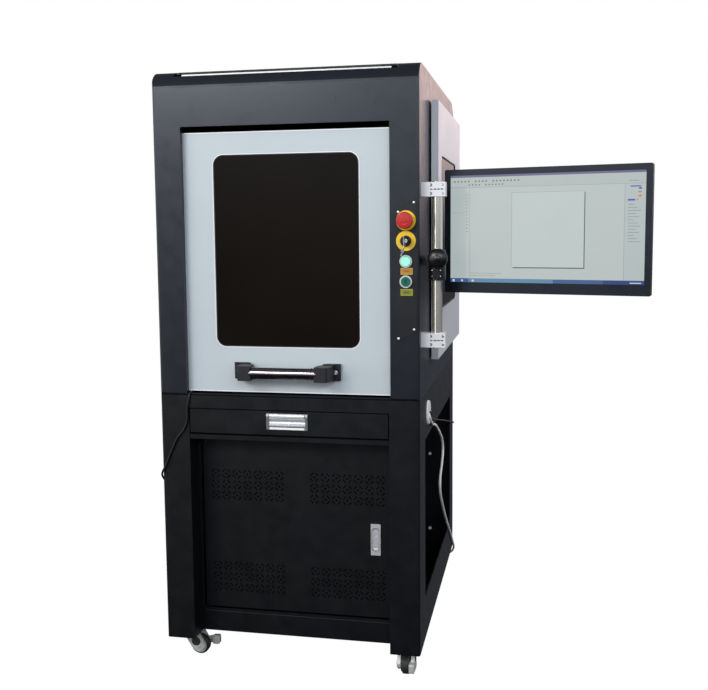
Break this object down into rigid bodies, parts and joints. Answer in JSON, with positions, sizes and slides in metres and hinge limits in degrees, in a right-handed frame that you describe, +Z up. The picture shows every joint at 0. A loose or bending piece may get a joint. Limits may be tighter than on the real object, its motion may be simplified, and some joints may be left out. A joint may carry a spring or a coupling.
{
  "type": "laser marking machine",
  "caption": "Enclosed laser marking machine: lifting front door, side service door, lower cabinet with keyboard drawer, control strip, arm-mounted monitor, swivel casters.",
  "frame": {"origin": "on the floor under the middle of the cabinet", "axes": "+Z up, -Y towards the operator at the front door, +X towards the side with the service door and the monitor"},
  "size_m": [1.1948, 1.0609, 1.51],
  "materials": {
    "lower_paint": "satin powder coat",
    "upper_paint": "satin powder coat",
    "lower_door_paint": "satin powder coat",
    "extrusion": "satin anodised",
    "plate_black": "semi-matt",
    "legend_yellow": "gloss",
    "bezel_silver": "polished",
    "grommet_white": "gloss",
    "bracket_white": "satin",
    "post_chrome": "polished",
    "case_grey": "satin",
    "laser_box": "satin",
    "table_metal": "machined",
    "zinc": "zinc plated",
    "hinge_steel": "brushed",
    "door_white": "satin",
    "carrier_white": "satin",
    "window_dark": "tinted laser-safe glazing",
    "handle_black": "satin",
    "handle_chrome": "dark polished",
    "side_door_grey": "satin",
    "keyboard_black": "matt",
    "pull_chrome": "polished",
    "lock_chrome": "satin plated",
    "stop_red": "gloss",
    "key_steel": "polished",
    "start_green": "lit lens",
    "reset_green": "gloss",
    "arm_black": "satin",
    "monitor_black": "fine texture",
    "screen": "lit display",
    "carriage_dark": "satin",
    "screw_steel": "ground",
    "wheel_black": "hard rubber",
    "cord_white": "soft sheath",
    "cord_black": "soft sheath"
  },
  "bodies": {
    "cabinet": {"lower_shell": "lower_paint", "lower_rear_panel": "lower_paint", "upper_shell": "upper_paint", "upper_rear_panel": "upper_paint", "door_rails": "carriage_dark", "control_plate": "plate_black", "legend_rings": "legend_yellow", "button_bezels": "bezel_silver", "grommet": "grommet_white", "post_brackets": "bracket_white", "monitor_post": "post_chrome", "computer_case": "case_grey", "laser_source": "laser_box", "worktable": "table_metal", "z_column": "extrusion", "drawer_slides": "extrusion", "caster_plates": "zinc", "side_door_hinges": "hinge_steel", "mains_cord": "cord_white", "mains_plug": "cord_white", "chamber_cord": "cord_black", "data_lead": "cord_black"},
    "front_door": {"door_skin": "door_white", "door_window": "window_dark", "door_carrier": "carrier_white", "handle_feet": "handle_black", "handle_tube": "handle_chrome"},
    "side_door": {"side_door_panel": "side_door_grey", "side_door_window": "window_dark"},
    "drawer": {"drawer_tray": "lower_paint", "keyboard": "keyboard_black", "pull_frame": "pull_chrome"},
    "flap": {"pull_flap": "pull_chrome"},
    "lower_door": {"lower_door_panel": "lower_door_paint", "lock_plate": "lock_chrome"},
    "paddle": {"lock_paddle": "lock_chrome"},
    "stop": {"stop_head": "stop_red"},
    "switch_key": {"key": "key_steel"},
    "start": {"start_button": "start_green"},
    "reset": {"reset_button": "reset_green"},
    "collar": {"arm_collar": "arm_black"},
    "inner_link": {"inner_arm": "arm_black"},
    "outer_link": {"outer_arm": "arm_black"},
    "head": {"tilt_head": "arm_black"},
    "monitor": {"monitor_housing": "monitor_black", "monitor_screen": "screen"},
    "carriage": {"z_carriage": "carriage_dark", "scan_head": "carriage_dark"},
    "screw": {"lift_screw": "screw_steel"},
    "swivel_front_left": {"fork_front_left": "zinc"},
    "caster_front_left": {"wheel_front_left": "wheel_black"},
    "swivel_front_right": {"fork_front_right": "zinc"},
    "caster_front_right": {"wheel_front_right": "wheel_black"},
    "swivel_rear_left": {"fork_rear_left": "zinc"},
    "caster_rear_left": {"wheel_rear_left": "wheel_black"},
    "swivel_rear_right": {"fork_rear_right": "zinc"},
    "caster_rear_right": {"wheel_rear_right": "wheel_black"},
    "brake_front_left": {"pedal_front_left": "zinc"},
    "brake_front_right": {"pedal_front_right": "zinc"}
  },
  "joints": [
    {"name": "front_door_lift", "type": "slide", "parent": "cabinet", "child": "front_door", "axis": [0, 0, 1], "range_m": [0, 0.52]},
    {"name": "side_door_hinge", "type": "hinge", "parent": "cabinet", "child": "side_door", "pos_m": [0.343, 0.404, 1.1145], "axis": [0, 0, 1], "range_deg": [0, 100.27]},
    {"name": "drawer_slide", "type": "slide", "parent": "cabinet", "child": "drawer", "axis": [0, -1, 0], "range_m": [0, 0.28]},
    {"name": "flap_hinge", "type": "hinge", "parent": "drawer", "child": "flap", "pos_m": [0, -0.4175, 0.6603], "axis": [-1, 0, 0], "range_deg": [0, 51.57]},
    {"name": "lower_door_hinge", "type": "hinge", "parent": "cabinet", "child": "lower_door", "pos_m": [-0.2375, -0.349, 0.3605], "axis": [0, 0, -1], "range_deg": [0, 89.95]},
    {"name": "paddle_hinge", "type": "hinge", "parent": "lower_door", "child": "paddle", "pos_m": [0.2095, -0.354, 0.3665], "axis": [-1, 0, 0], "range_deg": [0, 34.38]},
    {"name": "stop_press", "type": "slide", "parent": "cabinet", "child": "stop", "axis": [0, 1, 0], "range_m": [0, 0.006]},
    {"name": "key_turn", "type": "hinge", "parent": "cabinet", "child": "switch_key", "pos_m": [0.298, -0.43, 1.093], "axis": [0, 1, 0], "range_deg": [0, 89.95]},
    {"name": "start_press", "type": "slide", "parent": "cabinet", "child": "start", "axis": [0, 1, 0], "range_m": [0, 0.004], "stiffness_N_per_m": 400, "springref_m": -0.002},
    {"name": "reset_press", "type": "slide", "parent": "cabinet", "child": "reset", "axis": [0, 1, 0], "range_m": [0, 0.004], "stiffness_N_per_m": 400, "springref_m": -0.002},
    {"name": "collar_slide", "type": "slide", "parent": "cabinet", "child": "collar", "axis": [0, 0, 1], "range_m": [-0.1, 0.1]},
    {"name": "inner_arm_turn", "type": "hinge", "parent": "collar", "child": "inner_link", "pos_m": [0.367, -0.375, 1.0443], "axis": [0, 0, 1], "range_deg": [-57.3, 2.86]},
    {"name": "outer_arm_turn", "type": "hinge", "parent": "inner_link", "child": "outer_link", "pos_m": [0.397, -0.255, 1.0686], "axis": [0, 0, 1], "range_deg": [-1.72, 28.65]},
    {"name": "head_turn", "type": "hinge", "parent": "outer_link", "child": "head", "pos_m": [0.64261, -0.26327, 1.098], "axis": [0, 0, 1], "range_deg": [-0.57, 6.88]},
    {"name": "monitor_tilt", "type": "hinge", "parent": "head", "child": "monitor", "pos_m": [0.63294, -0.30208, 1.126], "axis": [0.9703, -0.2419, 0], "range_deg": [-6.3, 4.01]},
    {"name": "carriage_lift", "type": "slide", "parent": "cabinet", "child": "carriage", "axis": [0, 0, 1], "range_m": [-0.2, 0.12]},
    {"name": "screw_turn", "type": "hinge", "parent": "cabinet", "child": "screw", "pos_m": [0, 0.184, 1.04], "axis": [0, 0, 1], "range_deg": [-14896.9, 9167.32]},
    {"name": "swivel_turn_front_left", "type": "hinge", "parent": "cabinet", "child": "swivel_front_left", "pos_m": [-0.288, -0.344, 0.062], "axis": [0, 0, 1], "continuous": true},
    {"name": "wheel_turn_front_left", "type": "hinge", "parent": "swivel_front_left", "child": "caster_front_left", "pos_m": [-0.268, -0.344, 0.025], "axis": [0, 1, 0], "continuous": true},
    {"name": "brake_press_front_left", "type": "hinge", "parent": "swivel_front_left", "child": "brake_front_left", "pos_m": [-0.268, -0.344, 0.025], "axis": [0, 1, 0], "range_deg": [0, 17.19]},
    {"name": "swivel_turn_front_right", "type": "hinge", "parent": "cabinet", "child": "swivel_front_right", "pos_m": [0.288, -0.344, 0.062], "axis": [0, 0, 1], "continuous": true},
    {"name": "wheel_turn_front_right", "type": "hinge", "parent": "swivel_front_right", "child": "caster_front_right", "pos_m": [0.288, -0.364, 0.025], "axis": [1, 0, 0], "continuous": true},
    {"name": "brake_press_front_right", "type": "hinge", "parent": "swivel_front_right", "child": "brake_front_right", "pos_m": [0.288, -0.364, 0.025], "axis": [1, 0, 0], "range_deg": [0, 17.19]},
    {"name": "swivel_turn_rear_left", "type": "hinge", "parent": "cabinet", "child": "swivel_rear_left", "pos_m": [-0.288, 0.344, 0.062], "axis": [0, 0, 1], "continuous": true},
    {"name": "wheel_turn_rear_left", "type": "hinge", "parent": "swivel_rear_left", "child": "caster_rear_left", "pos_m": [-0.28282, 0.36332, 0.025], "axis": [-0.9659, 0.2588, 0], "continuous": true},
    {"name": "swivel_turn_rear_right", "type": "hinge", "parent": "cabinet", "child": "swivel_rear_right", "pos_m": [0.288, 0.344, 0.062], "axis": [0, 0, 1], "continuous": true},
    {"name": "wheel_turn_rear_right", "type": "hinge", "parent": "swivel_rear_right", "child": "caster_rear_right", "pos_m": [0.28282, 0.36332, 0.025], "axis": [-0.9659, -0.2588, 0], "continuous": true}
  ],
  "couplings": [
    {"joint": "screw_turn", "follows": "carriage_lift", "rad_per_m": 1256.6}
  ]
}
